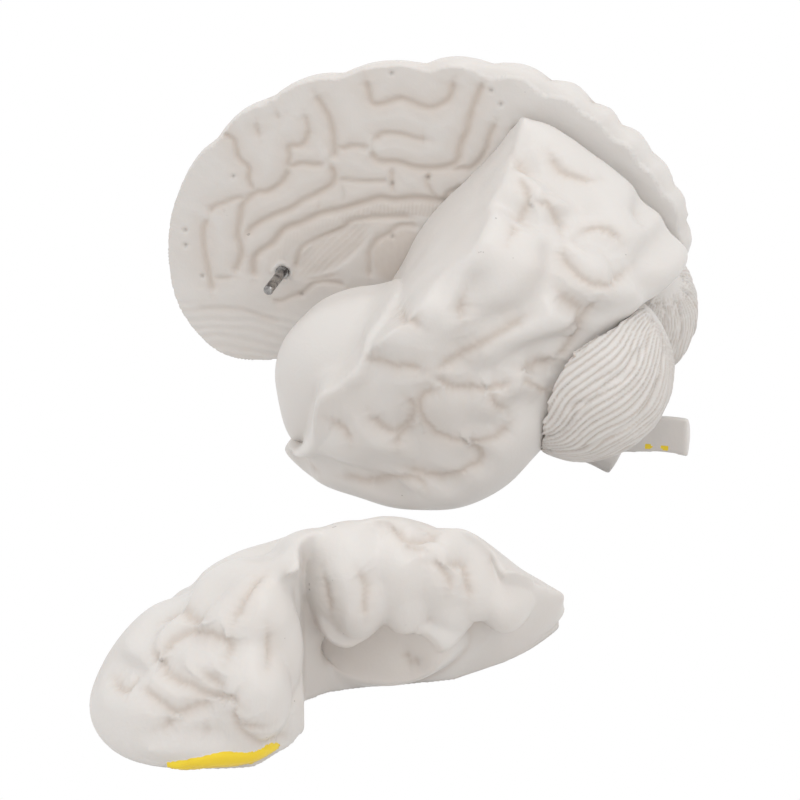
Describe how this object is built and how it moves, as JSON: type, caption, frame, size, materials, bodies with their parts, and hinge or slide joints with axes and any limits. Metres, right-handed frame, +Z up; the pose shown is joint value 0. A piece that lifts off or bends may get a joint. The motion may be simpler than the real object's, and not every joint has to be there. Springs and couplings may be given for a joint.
{
  "type": "brain anatomy model",
  "caption": "Life-size take-apart brain model: an upright half with a fitted rear lobe and a front lobe lying beside it, located by pins.",
  "frame": {"origin": "middle of the whole set's footprint, on the table top", "axes": "+Z up, -X toward the forehead, -Y toward the lobe that lies taken off, which is the brain's left"},
  "size_m": [0.1661, 0.255, 0.128],
  "materials": {
    "white_plastic": "satin moulded plastic",
    "steel": "brushed"
  },
  "bodies": {
    "far_half": {"right_hemisphere": "white_plastic", "right_cerebellum": "white_plastic", "right_brainstem": "white_plastic", "left_fronto_parietal_lobe": "white_plastic", "front_pin": "steel", "upper_rear_pin": "steel", "lower_rear_pin": "steel"},
    "near_rear_part": {"left_temporo_occipital_lobe": "white_plastic", "left_cerebellum": "white_plastic", "left_brainstem": "white_plastic"}
  },
  "joints": [
    {"name": "rear_part_slide", "type": "slide", "parent": "far_half", "child": "near_rear_part", "axis": [0, -1, 0], "range_m": [0, 0.025]}
  ]
}
